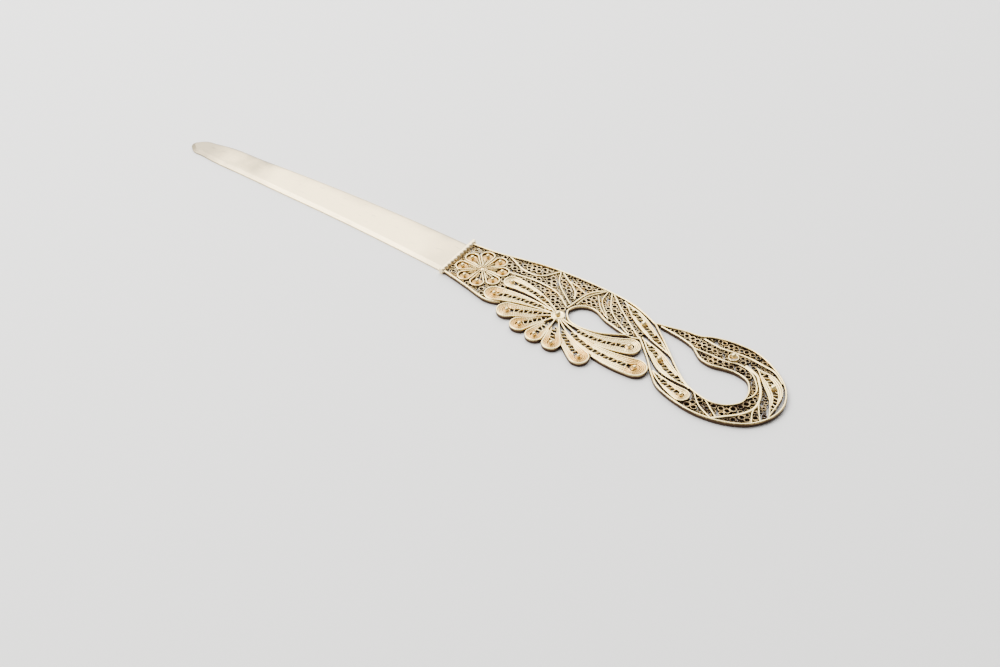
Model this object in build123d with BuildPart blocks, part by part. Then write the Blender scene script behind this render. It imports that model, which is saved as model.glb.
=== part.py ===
"""Filigree letter opener.

A sheet blade is soldered into a toothed collar, and the collar carries an openwork wire handle in the
shape of a swan: a rosette at the tail, a fan wing, a leafed neck and a head whose beak touches the neck.
Frame strips stand on edge and carry everything; bands, ladders, domes and lattices fill them.

Millimetres. The origin is on the resting plane where the blade meets the collar. X runs from the blade
to the handle, Y to the back and Z up.
"""

import os
from math import asin, atan, cos, degrees, pi, radians, sin, sqrt

from build123d import *

os.makedirs("parts", exist_ok=True)

# Stock: the strips and wires that the handle is made of
strip_width = 0.6
strip_height = 1.2
rim_width = 0.42
rib_width = 0.42
rib_height = 1.05
rib_legs = 4
rung_width = 0.28
lattice_width = 0.4
sharpest_mitre = 0.5
fill_base = 0.15
fill_height = 0.75
solder_gap = 0.02
straight_within = 1e-4
parallel_within = 1e-6

# Blade
blade_length = 88.4
blade_thickness = 0.9
blade_root_back = 4.45
blade_root_edge = 7.9
blade_belly_back = 5.1
blade_belly_back_at = 26.5
blade_belly_edge = 5.7
blade_belly_edge_at = 30
blade_taper_length = 23.9
blade_taper_back = 4.15
blade_taper_edge = 4.3
blade_nose_length = 6.4
blade_nose_back = 3.0
blade_nose_edge = 3.5
blade_point_length = 1.6
blade_point_back = 1.6
blade_point_edge = 2.8
blade_point_drop = 0.9
bevel_width = 1.0
bevel_drop = 0.55
tang_depth = 0.75
tang_shoulder = 0.5

# Collar
collar_depth = 1.45
collar_height = 1.6
collar_back = 6.0
collar_edge = 8.6
tooth_count = 14
tooth_depth = 0.3

# Frame strips: middle lines, from the collar towards the head, and the inner edge of the window
back_line = [(1, 4.9), (8.2, 5.4), (15.6, 6.8), (22.1, 7.9), (28.5, 8.25), (34, 8.3), (40.5, 7.95),
             (45.9, 7.2), (50.3, 5.8), (54.8, 3.75)]
tail_line = [(1, -8), (4.7, -8.8), (9.6, -9.95), (13.4, -11), (15.6, -11.4), (17.8, -11.1)]
loop_outer_line = [(54.8, 3.85), (58.9, 4.7), (62.5, 5.45), (66.2, 5.85), (68.8, 7.1), (72.4, 8),
                   (76.2, 8.3), (80.3, 7.9), (85.1, 5.8), (89.9, 2.2), (92.7, -1.9), (93.7, -6.3),
                   (92.5, -11), (89, -15.1), (83.4, -17.5), (77.3, -18.1), (71.4, -17.1), (66.4, -15.2),
                   (63.1, -12.2), (60.1, -8.65), (56.2, -4.5), (54.2, -2.6)]
loop_inner_line = [(54.9, 3.75), (60.1, -0.8), (66.8, -7.1), (71.2, -10.6), (75, -12.2), (78.9, -12.95),
                   (82.3, -12.1), (84.7, -9.9), (85.3, -7.4), (84.5, -4.3), (82.5, -1.8), (79.2, -0.9),
                   (76.2, -1.15), (73.2, -1.8), (70.2, -1.3), (68, 0.2), (66.2, 1.6), (62.5, 2.75),
                   (56.6, 3.7)]
window_line = [(52, -3.65), (46, -2.05), (43.7, -1.25), (41.3, 0), (39.2, 0.4), (37.2, -0.05),
               (35.5, -1.4), (34.65, -3.5), (35.3, -5.3), (36.9, -6.95), (39.2, -7.7), (41.6, -7.7),
               (46, -6.8), (52, -3.65)]

# Wing: the boss, and for each feather its dome, the bow of its spine, its tip radius and how far out
# the slot for its ladder starts
boss_place = (33.85, -6.7)
boss_radius = 1.55
boss_bead_radius = 0.95
feather_throat = 0.3
feathers = {
    "feather_1": ((17.7, -2.3), 1.35, 2.2, 2.4),
    "feather_2": ((16.4, -8.4), 1.0, 2.6, 2.6),
    "feather_3": ((22.5, -11.9), 0, 2.65, 2.6),
    "feather_4": ((27.9, -14.6), 0, 2.45, 3),
    "feather_5": ((33, -15.8), 0, 2.35, 3.8),
    "feather_6": ((38, -16.1), 0, 2.4, 4.3),
    "feather_7": ((46, -16.6), 1.0, 2.6, 5),
    "feather_8": ((58.9, -12.6), 2.9, 3.05, 6.8),
    "feather_9": ((54, -6.9), 2.5, 2.8, 7),
}

# Slots, ladders, domes and beads of feathers, petals and leaves
slot_width = 0.9
slot_legs = 4
rung_pitch = 1.6
rung_slant = 0.35
dome_height = 1.1
dome_sides = 10
dome_top_share = 0.55
bead_radius = 0.55
bead_rise = 1.1
bead_sides = 8
bead_top_share = 0.45

# Rosette
rosette_place = (8.6, -2.1)
rosette_centre_radius = 0.75
petal_count = 8
petal_turn = 19
petal_reach = 5.1
petal_throat = 0.01
corner_coils = [((3, 3.4), 1.6), ((3.2, -6.8), 1.8)]

# Neck and crest leaves: two sides from end to end, and the share of the length where the bead sits
leaves = {
    "upper_neck_leaf": (
        [(44.6, 6.75), (49.6, 2.2), (56, -1.6), (64, -4.6)],
        [(44.6, 6.75), (50.8, 4.9), (57.5, 0.6), (64, -4.6)],
    ),
    "middle_neck_leaf": (
        [(54.9, -2.4), (59.6, -7.1), (65, -10.9), (72.9, -11.8)],
        [(54.9, -2.4), (61.3, -4.4), (66.4, -7.5), (72.9, -11.8)],
    ),
    "crest_leaf": (
        [(82.6, 3.1), (86.4, -1.2), (90, -5.2), (92.6, -10.4)],
        [(82.6, 3.1), (88.2, 2.3), (91.8, -1.8), (92.6, -10.4)],
    ),
}
leaf_bead = 0.42
leaf_end_share = 0.12
leaf_seat_radius = 0.95
leaf_bead_radius = 0.75
lower_leaf_root = (62.9, -11.2)
lower_leaf_dome = (72.4, -14.7)
lower_leaf_bow = 0.5
lower_leaf_tip = 2.15
lower_leaf_slot_start = 2.4

# Ribs: middle lines of the wires that part the panels
ribs = {
    "body_ribs": [
        [(25.3, 7.9), (23.3, 4.8), (19, 3.3), (11.8, 5.9)],
        [(25.4, 7.9), (27.8, 3.6), (33.9, -1.3)],
        [(38.5, 7.8), (35.5, 4.3), (34.1, -3)],
        [(14.9, 0.6), (22, 1.5), (28.5, 0.8), (33.8, -2.7)],
        [(39.2, 7.8), (39.9, 3.9), (43.4, 0)],
        [(40.3, 7.8), (44, 1.7), (50.8, -2.6)],
        [(40.9, 7.8), (46.7, 2.8), (53.6, -2.6)],
    ],
    "head_ribs": [
        [(67.4, 5.6), (76, 5), (90, 1.8)],
        [(67, 1.3), (76, 1.4), (83, 0.5), (86.2, -3.6), (85.3, -7.6)],
    ],
    "loop_ribs": [
        [(80, 2.6), (86.2, -2.2), (88.3, -8), (81.5, -17.8)],
        [(88.3, -8), (88.8, -11), (90.2, -14)],
        [(74.2, -11.9), (77.5, -15.4), (82.2, -17.8)],
        [(77.8, -12.9), (80, -14.7), (82.6, -16.7)],
    ],
}

# Eye
eye_place = (76.2, 3.6)
eye_radius = 1.35
eye_bead_radius = 0.9

# Lattices: the two lines that each zigzag wire runs between
lattice_pitch = 1.5
lattices = {
    "body_lattice": [
        ([(24.2, 7), (18, 6.4), (12.6, 5.6)], [(22.8, 5.1), (18.6, 4.2), (14, 5.3)]),
        ([(15, 3.2), (20, 2.9), (24.6, 5.9)], [(14, 1.2), (21, 2), (26, 5.4)]),
        ([(26.4, 4.8), (28.2, 2.6), (31.8, -0.2)], [(24, 2), (28, 1.4), (31.6, -0.6)]),
        ([(28.6, 7.3), (32.5, 7.6), (36.6, 7.4)], [(28.4, 4.9), (31.4, 2.4), (33.9, 1.5)]),
        ([(41.9, 5.8), (45, 2), (51.5, -2.4)], [(43, 5.4), (47.2, 1.9), (52.6, -1.9)]),
    ],
    "head_lattice": [
        ([(58.6, 4.3), (63, 5.2), (67.6, 5.2)], [(59.4, 3.6), (63.4, 3), (67.6, 1.7)]),
        ([(67.6, 6.1), (75.6, 7.9), (86.6, 4.6)], [(69.4, 5.6), (76, 5.7), (85.6, 4.8)]),
        ([(68.6, 4.9), (71.6, 4.5), (74.6, 4.6)], [(68.8, 1.8), (71.6, 1.8), (75, 1.9)]),
        ([(68.2, 0.9), (75, 1), (80, 1.2)], [(69.6, -0.7), (75.8, -0.6), (79.4, -0.6)]),
    ],
    "loop_lattice": [
        ([(86.7, -4.6), (87.6, -9), (83.6, -14.8)], [(85.9, -7.6), (85, -10.9), (80.2, -13.4)]),
        ([(75.6, -14), (78.4, -16.5), (81, -17.4)], [(75.2, -16.8), (77.2, -17.4), (80.4, -17.7)]),
        ([(88.9, -5.9), (90.4, -8.4), (92.2, -11)], [(89.3, -7.9), (90.6, -10.2), (91.8, -12)]),
    ],
}


def vectors(points):
    """The points as vectors."""
    return [Vector(*point) for point in points]


def left_of(direction):
    """The direction turned a quarter turn to the left."""
    return Vector(-direction.Y, direction.X)


def headings(points):
    """Unit headings of a smooth line: at each point, that of the circle through it and its neighbours."""
    chords = [end - start for start, end in zip(points, points[1:])]
    inner = [
        (before.normalized() * after.length + after.normalized() * before.length).normalized()
        for before, after in zip(chords, chords[1:])
    ]
    first = chords[0].normalized()
    last = chords[-1].normalized()
    first = first * (2 * first.dot(inner[0])) - inner[0]
    last = last * (2 * last.dot(inner[-1])) - inner[-1]
    return [first] + inner + [last]


def arc_from(start, heading, end):
    """An arc that leaves start along heading and stops at end, or a line where that is straight."""
    if abs(left_of(heading).dot(end - start)) < straight_within:
        return Edge.make_line(start, end)
    return Edge.make_tangent_arc(start, heading, end)


def smooth_edges(points, shift=0):
    """Pairs of tangent arcs through the points, shifted to their left."""
    places = vectors(points)
    courses = headings(places)
    places = [place + left_of(course) * shift for place, course in zip(places, courses)]
    edges = []
    for start, end, leave, arrive in zip(places, places[1:], courses, courses[1:]):
        chord = end - start
        along = chord.dot(leave + arrive)
        bend = 2 * (1 - leave.dot(arrive))
        square = chord.dot(chord)
        if bend < parallel_within:
            reach = square / (2 * along)
        else:
            reach = (sqrt(along**2 + bend * square) - along) / bend
        knot = (start + end + (leave - arrive) * reach) * 0.5
        edges.append(arc_from(start, leave, knot))
        edges.append(arc_from(end, arrive * -1, knot))
    return edges


def outline_of(edges):
    """The face inside a closed ring of edges."""
    with BuildSketch() as outline:
        with BuildLine():
            add(edges)
        make_face()
    return outline.sketch


def strip(points, width):
    """A strip of even width along a smooth line, seen from above."""
    places = vectors(points)
    courses = headings(places)
    ends = []
    for place, course in ((places[0], courses[0]), (places[-1], courses[-1])):
        side = left_of(course) * (width / 2)
        ends.append(Edge.make_line(place + side, place - side))
    return outline_of(smooth_edges(points, width / 2) + smooth_edges(points, -width / 2) + ends)


def bent_strip(points, width, reach=0):
    """A strip with mitred corners along a bent line, seen from above, that may reach past its ends."""
    places = vectors(points)
    steps = [(end - start).normalized() for start, end in zip(places, places[1:])]
    places[0] -= steps[0] * reach
    places[-1] += steps[-1] * reach
    left = []
    right = []
    for place, before, after in zip(places, steps[:1] + steps, steps + steps[-1:]):
        across = (left_of(before) + left_of(after)).normalized()
        side = across * (width / 2 / max(across.dot(left_of(before)), sharpest_mitre))
        left.append(place + side)
        right.append(place - side)
    with BuildSketch() as outline:
        with BuildLine():
            Polyline(*left, *reversed(right), close=True)
        make_face()
    return outline.sketch


def leaf(sides):
    """A leaf between two smooth sides that share both ends, seen from above."""
    return outline_of(smooth_edges(sides[0]) + smooth_edges(sides[1]))


def arc_through(start, middle, end):
    """An arc through three places, or a line where they are in a row."""
    if abs(left_of((end - start).normalized()).dot(middle - start)) < straight_within:
        return Edge.make_line(start, end)
    return Edge.make_three_point_arc(start, middle, end)


def spine_of(root, dome, bow):
    """The arc or line from root to dome that bows to its right."""
    start, end = vectors([root, dome])
    return arc_through(start, (start + end) * 0.5 - left_of((end - start).normalized()) * bow, end)


def feather(spine, tip, throat):
    """A feather about its spine, seen from above: it widens evenly from the throat to a round tip."""
    lean = asin((tip - throat) / spine.length)
    sides = []
    for hand in (1, -1):
        side = []
        for share in (0, 0.5, 1):
            ahead = spine % share
            out = left_of(ahead) * (hand * cos(lean)) - ahead * sin(lean)
            side.append(spine @ share + out * (throat + (tip - throat) * share))
        sides.append(side)
    left, right = sides
    return outline_of([
        arc_through(*left),
        Edge.make_three_point_arc(left[2], spine @ 1 + (spine % 1) * tip, right[2]),
        arc_through(*right),
        Edge.make_line(right[0], left[0]),
    ])


def places_on(line, start, end, count):
    """Evenly spaced places on a line, between two shares of its length."""
    return [line @ (start + (end - start) * number / count) for number in range(count + 1)]


def ladder(places, start, end):
    """A rung wire that crosses to and fro along a bent line, between two distances from its start."""
    line = Wire.make_polygon(places, close=False)
    count = max(2, round((end - start) / rung_pitch) + 1)
    pitch = (end - start) / (count - 1)
    points = []
    for number in range(count):
        rung = []
        for hand in (1, -1):
            share = (start + number * pitch + hand * rung_slant / 2) / line.length
            rung.append(line @ share + left_of(line % share) * (hand * (slot_width - rung_width) / 2))
        points += rung if number % 2 == 0 else reversed(rung)
    return bent_strip(points, rung_width)


def zigzag(side, other):
    """A wire that runs to and fro between two smooth lines, one leg for each pitch of their length."""
    lines = [Wire(smooth_edges(side)), Wire(smooth_edges(other))]
    legs = max(2, round((lines[0].length + lines[1].length) / 2 / lattice_pitch))
    points = [lines[number % 2] @ (number / legs) for number in range(legs + 1)]
    return bent_strip(points, lattice_width)


def grown(outline, amount=solder_gap):
    """An outline widened all round, or narrowed by a negative amount."""
    return offset(outline, amount=amount, kind=Kind.ARC)


def trimmed(outline, others):
    """An outline cut back to stand clear of others."""
    with BuildSketch() as rest:
        add(outline)
        for other in others:
            add(other, mode=Mode.SUBTRACT)
    return rest.sketch


def within(outline, limit):
    """The part of an outline that lies inside a limit."""
    with BuildSketch() as rest:
        add(outline)
        add(limit, mode=Mode.INTERSECT)
    return rest.sketch


def write(piece, name):
    """Label a finished piece and write its file."""
    piece.part.label = name
    export_step(piece.part, f"parts/{name}.step")


def raised(name, outlines, height, base=0):
    """One node of flat wire pieces, raised from their outlines."""
    with BuildPart() as piece:
        with BuildSketch(Plane.XY.offset(base)):
            for outline in outlines:
                add(outline)
        extrude(amount=height)
    write(piece, name)


def many_sided(place, radius, sides=dome_sides):
    """A regular outline with many sides."""
    with BuildSketch() as outline:
        with Locations(place):
            RegularPolygon(radius, sides)
    return outline.sketch


def slot_in(whole, places):
    """The slot for a ladder along a bent line, kept inside the rim of a feather or leaf."""
    return within(bent_strip(places, slot_width + 2 * solder_gap), grown(whole, -rim_width))


def taper_for(radius, sides, top_share, rise):
    """The taper that draws a many-sided outline in to a share of its size over a rise."""
    return degrees(atan(radius * cos(pi / sides) * (1 - top_share) / rise))


def domes(name, seats):
    """One node of wound domes: many-sided, and flat on top where a bead sits."""
    rise = dome_height - fill_base
    with BuildPart() as piece:
        for place, radius in seats:
            with BuildSketch(Plane.XY.offset(fill_base)):
                add(many_sided(place, radius, dome_sides))
            extrude(amount=rise, taper=taper_for(radius, dome_sides, dome_top_share, rise))
    write(piece, name)


def beads(name, seats):
    """One node of many-sided beads, each soldered to its seat."""
    with BuildPart() as piece:
        for place, radius, seat in seats:
            rise = bead_rise * radius
            with BuildSketch(Plane.XY.offset(seat)):
                add(many_sided(place, radius, bead_sides))
            extrude(amount=rise, taper=taper_for(radius, bead_sides, bead_top_share, rise))
    write(piece, name)


# Blade: its outline from the back round the point to the edge, with a shouldered tang and a bevelled edge
blade_line = [
    (0, blade_root_back),
    (-blade_belly_back_at, blade_belly_back),
    (blade_taper_length - blade_length, blade_taper_back),
    (blade_nose_length - blade_length, blade_nose_back),
    (blade_point_length - blade_length, blade_point_back),
    (-blade_length, -blade_point_drop),
    (blade_point_length - blade_length, -blade_point_edge),
    (blade_nose_length - blade_length, -blade_nose_edge),
    (blade_taper_length - blade_length, -blade_taper_edge),
    (-blade_belly_edge_at, -blade_belly_edge),
    (0, -blade_root_edge),
]
bevel_start = -(blade_point_drop + blade_point_edge) / 2
tang_back = blade_root_back - tang_shoulder
tang_edge = blade_root_edge - tang_shoulder
with BuildPart() as blade:
    with BuildSketch():
        with BuildLine():
            add(smooth_edges(blade_line))
            Line((0, -blade_root_edge), (0, blade_root_back))
        make_face()
    extrude(amount=blade_thickness)
    front = blade.faces().sort_by(Axis.Z)[-1]
    lower = front.edges().filter_by(lambda edge: edge.center().Y < bevel_start)
    edge_side = lower.filter_by(lambda edge: edge.center().X < -bevel_width)
    chamfer(edge_side, length=bevel_width, length2=bevel_drop, reference=front)
    with BuildSketch():
        with BuildLine():
            Polyline((0, -tang_edge), (tang_depth, -tang_edge), (tang_depth, tang_back), (0, tang_back),
                     close=True)
        make_face()
    extrude(amount=blade_thickness)
write(blade, "blade")

# Collar: a strip across the handle, toothed on that side and slotted for the tang on the other
tooth_pitch = (collar_back + collar_edge) / tooth_count
collar_corners = [(solder_gap, collar_back), (solder_gap, -collar_edge)]
for number in range(tooth_count):
    collar_corners.append((collar_depth, number * tooth_pitch - collar_edge))
    collar_corners.append((collar_depth - tooth_depth, (number + 0.5) * tooth_pitch - collar_edge))
collar_corners.append((collar_depth, collar_back))
with BuildSketch() as collar_outline:
    with BuildLine():
        Polyline(*collar_corners, close=True)
    make_face()
with BuildPart() as collar:
    with BuildSketch():
        add(collar_outline.sketch)
    extrude(amount=collar_height)
    with BuildSketch():
        with BuildLine():
            Polyline((0, -tang_edge - solder_gap), (tang_depth + solder_gap, -tang_edge - solder_gap),
                     (tang_depth + solder_gap, tang_back + solder_gap), (0, tang_back + solder_gap),
                     close=True)
        make_face()
    extrude(amount=blade_thickness + solder_gap, mode=Mode.SUBTRACT)
write(collar, "collar")
collar_room = grown(collar_outline.sketch)

# Frame strips, each filed to meet the ones before it
window = outline_of(smooth_edges(window_line))
window_room = grown(window, strip_width + solder_gap)
back_room = strip(back_line, strip_width + 2 * solder_gap)
loop_outer_room = strip(loop_outer_line, strip_width + 2 * solder_gap)
loop_inner_room = strip(loop_inner_line, strip_width + 2 * solder_gap)
raised("window_frame", [trimmed(grown(window, strip_width), [window])], strip_height)
raised("back_frame", [trimmed(strip(back_line, strip_width), [collar_room])], strip_height)
raised("loop_outer_frame", [trimmed(strip(loop_outer_line, strip_width), [back_room, window_room])],
       strip_height)
raised("loop_inner_frame", [trimmed(strip(loop_inner_line, strip_width), [back_room, loop_outer_room])],
       strip_height)
frame_rooms = [back_room, loop_outer_room, loop_inner_room, window_room]

# Wing boss
boss_room = many_sided(boss_place, boss_radius + solder_gap)
domes("wing_boss", [(boss_place, boss_radius)])

# Wing: each feather is filed to meet the boss, the window and the feathers made before it
wing_rooms = [boss_room, window_room, loop_outer_room]
feather_ladders = []
wing_beads = [(boss_place, boss_bead_radius, dome_height)]
for name, (dome_place, bow, tip, slot_start) in feathers.items():
    spine = spine_of(boss_place, dome_place, bow)
    whole = trimmed(feather(spine, tip, feather_throat), wing_rooms)
    dome_radius = tip - rim_width - solder_gap
    places = places_on(spine, slot_start / spine.length, 1, slot_legs)
    slot = slot_in(whole, places)
    dome_room = many_sided(dome_place, dome_radius + solder_gap)
    raised(f"{name}_frame", [trimmed(whole, [slot, dome_room])], strip_height)
    domes(f"{name}_dome", [(dome_place, dome_radius)])
    ladder_end = spine.length - slot_start - dome_radius - rung_width
    feather_ladders.append(within(ladder(places, rung_width, ladder_end), grown(slot, -solder_gap / 2)))
    wing_beads.append((dome_place, bead_radius, dome_height))
    wing_rooms.append(grown(whole))
raised("feather_ladders", feather_ladders, fill_height, fill_base)
beads("wing_beads", wing_beads)

# Tail frame and rosette: the petals touch side by side round a centre, with a coil in either corner
tail = trimmed(strip(tail_line, strip_width), [collar_room] + wing_rooms)
raised("tail_frame", [tail], strip_height)
rosette_rooms = [collar_room, grown(tail), many_sided(rosette_place, rosette_centre_radius + solder_gap)]
petal_tip = petal_reach * sin(pi / petal_count) - solder_gap
petal_dome_radius = petal_tip - rim_width - solder_gap
petals = []
petal_domes = []
petal_beads = []
for number in range(petal_count):
    turn = radians(petal_turn) + number * 2 * pi / petal_count
    dome = Vector(*rosette_place) + Vector(cos(turn), sin(turn)) * petal_reach
    dome_place = (dome.X, dome.Y)
    spine = Edge.make_line(Vector(*rosette_place), dome)
    whole = trimmed(feather(spine, petal_tip, petal_throat), rosette_rooms + frame_rooms)
    petals.append(trimmed(whole, [many_sided(dome_place, petal_dome_radius + solder_gap)]))
    petal_domes.append((dome_place, petal_dome_radius))
    petal_beads.append((dome_place, bead_radius, dome_height))
    rosette_rooms.append(grown(whole))
raised("petal_frames", petals, strip_height)
domes("petal_domes", petal_domes)
beads("petal_beads", petal_beads)
domes("rosette_centre", [(rosette_place, rosette_centre_radius)])
coils = [trimmed(many_sided(*coil), rosette_rooms + frame_rooms) for coil in corner_coils]
raised("tail_corner_coils", coils, fill_height, fill_base)

# Neck and crest leaves: slotted for a ladder on either side of the bead
leaf_rooms = []
leaf_ladders = []
leaf_seats = []
leaf_beads = []
for name, sides in leaves.items():
    whole = trimmed(leaf(sides), frame_rooms + wing_rooms + leaf_rooms)
    middle = [((left[0] + right[0]) / 2, (left[1] + right[1]) / 2) for left, right in zip(*sides)]
    line = Wire(smooth_edges(middle))
    places = places_on(line, leaf_end_share, 1 - leaf_end_share, slot_legs)
    slot_length = line.length * (1 - 2 * leaf_end_share)
    bead = line @ leaf_bead
    bead_place = (bead.X, bead.Y)
    bead_at = line.length * (leaf_bead - leaf_end_share)
    rest = leaf_seat_radius + rung_width
    slot = slot_in(whole, places)
    seat_room = many_sided(bead_place, leaf_seat_radius + solder_gap)
    raised(f"{name}_frame", [trimmed(whole, [slot, seat_room])], strip_height)
    for start, end in ((rung_width, bead_at - rest), (bead_at + rest, slot_length - rung_width)):
        leaf_ladders.append(within(ladder(places, start, end), grown(slot, -solder_gap / 2)))
    leaf_seats.append((bead_place, leaf_seat_radius))
    leaf_beads.append((bead_place, leaf_bead_radius, dome_height))
    leaf_rooms.append(grown(whole))

# Lower neck leaf: a feather that ends in a dome
spine = spine_of(lower_leaf_root, lower_leaf_dome, lower_leaf_bow)
whole = trimmed(feather(spine, lower_leaf_tip, feather_throat), frame_rooms + wing_rooms + leaf_rooms)
dome_radius = lower_leaf_tip - rim_width - solder_gap
places = places_on(spine, lower_leaf_slot_start / spine.length, 1, slot_legs)
slot = slot_in(whole, places)
dome_room = many_sided(lower_leaf_dome, dome_radius + solder_gap)
raised("lower_neck_leaf_frame", [trimmed(whole, [slot, dome_room])], strip_height)
domes("lower_neck_leaf_dome", [(lower_leaf_dome, dome_radius)])
ladder_end = spine.length - lower_leaf_slot_start - dome_radius - rung_width
leaf_ladders.append(within(ladder(places, rung_width, ladder_end), grown(slot, -solder_gap / 2)))
leaf_beads.append((lower_leaf_dome, bead_radius, dome_height))
leaf_rooms.append(grown(whole))
raised("leaf_ladders", leaf_ladders, fill_height, fill_base)
domes("leaf_bead_seats", leaf_seats)
beads("leaf_beads", leaf_beads)

# Eye: a dome with a large bead
eye_room = many_sided(eye_place, eye_radius + solder_gap)
domes("eye_dome", [(eye_place, eye_radius)])
beads("eye_bead", [(eye_place, eye_bead_radius, dome_height)])

# Ribs and lattices fill what is left, each filed to meet what was made before it
rooms = frame_rooms + wing_rooms + rosette_rooms + leaf_rooms + [eye_room]
for name, lines in ribs.items():
    pieces = []
    for line in lines:
        places = places_on(Wire(smooth_edges(line)), 0, 1, rib_legs)
        pieces.append(trimmed(bent_strip(places, rib_width), rooms))
        rooms.append(bent_strip(places, rib_width + 2 * solder_gap, solder_gap))
    raised(name, pieces, rib_height)
for name, lines in lattices.items():
    raised(name, [trimmed(zigzag(*line), rooms) for line in lines], fill_height, fill_base)
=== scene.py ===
"""Dressed model of a filigree letter opener: drawn strips, twisted bands, ladders, wound coils and grains.

Metres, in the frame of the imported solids: X runs from the blade to the handle, Y to the back and Z up.
The lines and sizes below are in millimetres, as a maker would lay them out on the bench.
"""

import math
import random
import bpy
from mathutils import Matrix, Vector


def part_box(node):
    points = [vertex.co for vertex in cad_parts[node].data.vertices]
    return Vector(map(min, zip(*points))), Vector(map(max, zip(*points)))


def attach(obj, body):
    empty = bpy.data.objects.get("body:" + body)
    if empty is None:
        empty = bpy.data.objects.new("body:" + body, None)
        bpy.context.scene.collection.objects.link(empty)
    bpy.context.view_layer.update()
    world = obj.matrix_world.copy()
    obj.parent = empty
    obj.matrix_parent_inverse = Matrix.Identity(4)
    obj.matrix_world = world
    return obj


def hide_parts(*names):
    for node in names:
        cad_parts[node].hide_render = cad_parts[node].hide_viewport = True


bl_info = {
    "name": "Filigree letter opener",
    "version": (1, 0, 0),
    "blender": (4, 5, 0),
    "location": "View3D > Sidebar > Letter opener",
    "description": "Dresses the letter opener's solids with strips, wires, coils and grains of silver",
    "category": "Object",
}

from collections import namedtuple

import bmesh
import bpy
from bpy.props import FloatProperty, FloatVectorProperty, IntProperty, PointerProperty
from mathutils import Vector
from mathutils.kdtree import KDTree

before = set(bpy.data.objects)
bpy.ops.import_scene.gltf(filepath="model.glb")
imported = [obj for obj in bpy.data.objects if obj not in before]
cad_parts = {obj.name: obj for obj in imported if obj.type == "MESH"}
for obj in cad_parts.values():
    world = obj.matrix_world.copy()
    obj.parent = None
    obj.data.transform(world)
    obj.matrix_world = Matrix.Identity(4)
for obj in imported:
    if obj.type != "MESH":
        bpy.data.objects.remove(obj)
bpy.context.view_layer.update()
mm = 0.001
full_turn = 2 * math.pi

# Frame strips: middle lines, the inner edge of the window, and how far its point runs on
back_line = [(1, 4.9), (8.2, 5.4), (15.6, 6.8), (22.1, 7.9), (28.5, 8.25), (34, 8.3), (40.5, 7.95),
             (45.9, 7.2), (50.3, 5.8), (54.8, 3.75)]
tail_line = [(1, -8), (4.7, -8.8), (9.6, -9.95), (13.4, -11), (15.6, -11.4), (17.8, -11.1), (19.6, -10.4)]
loop_outer_line = [(54.8, 3.85), (58.9, 4.7), (62.5, 5.45), (66.2, 5.85), (68.8, 7.1), (72.4, 8),
                   (76.2, 8.3), (80.3, 7.9), (85.1, 5.8), (89.9, 2.2), (92.7, -1.9), (93.7, -6.3),
                   (92.5, -11), (89, -15.1), (83.4, -17.5), (77.3, -18.1), (71.4, -17.1), (66.4, -15.2),
                   (63.1, -12.2), (60.1, -8.65), (56.2, -4.5), (54.2, -2.6)]
loop_inner_line = [(54.9, 3.75), (60.1, -0.8), (66.8, -7.1), (71.2, -10.6), (75, -12.2), (78.9, -12.95),
                   (82.3, -12.1), (84.7, -9.9), (85.3, -7.4), (84.5, -4.3), (82.5, -1.8), (79.2, -0.9),
                   (76.2, -1.15), (73.2, -1.8), (70.2, -1.3), (68, 0.2), (66.2, 1.6), (62.5, 2.75),
                   (56.6, 3.7)]
window_line = [(52, -3.65), (46, -2.05), (43.7, -1.25), (41.3, 0), (39.2, 0.4), (37.2, -0.05),
               (35.5, -1.4), (34.65, -3.5), (35.3, -5.3), (36.9, -6.95), (39.2, -7.7), (41.6, -7.7),
               (46, -6.8), (52, -3.65)]
window_point = (0.5, -0.05)

# Feathers, the lower neck leaf last: bow of the spine to its right, start of the ladder, warmth of the tip
Plan = namedtuple("Plan", "bow ladder_start warmth")
feathers = {
    "feather_1": Plan(1.35, 2.4, 0.1),
    "feather_2": Plan(1, 2.6, 1.1),
    "feather_3": Plan(0, 2.6, 0.7),
    "feather_4": Plan(0, 3, 1.1),
    "feather_5": Plan(0, 3.8, 1.1),
    "feather_6": Plan(0, 4.3, 1),
    "feather_7": Plan(1, 5, 1.3),
    "feather_8": Plan(2.9, 6.8, 1.1),
    "feather_9": Plan(2.5, 7, 0),
    "lower_neck_leaf": Plan(0.5, 2.4, 0.3),
}
lower_leaf_root = (62.9, -11.2)

# Leaves: two sides each
leaf_sides = {
    "upper_neck_leaf": (
        [(44.6, 6.75), (49.6, 2.2), (56, -1.6), (64, -4.6)],
        [(44.6, 6.75), (50.8, 4.9), (57.5, 0.6), (64, -4.6)],
    ),
    "middle_neck_leaf": (
        [(54.9, -2.4), (59.6, -7.1), (65, -10.9), (72.9, -11.8)],
        [(54.9, -2.4), (61.3, -4.4), (66.4, -7.5), (72.9, -11.8)],
    ),
    "crest_leaf": (
        [(82.6, 3.1), (86.4, -1.2), (90, -5.2), (92.6, -10.4)],
        [(82.6, 3.1), (88.2, 2.3), (91.8, -1.8), (92.6, -10.4)],
    ),
}

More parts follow.
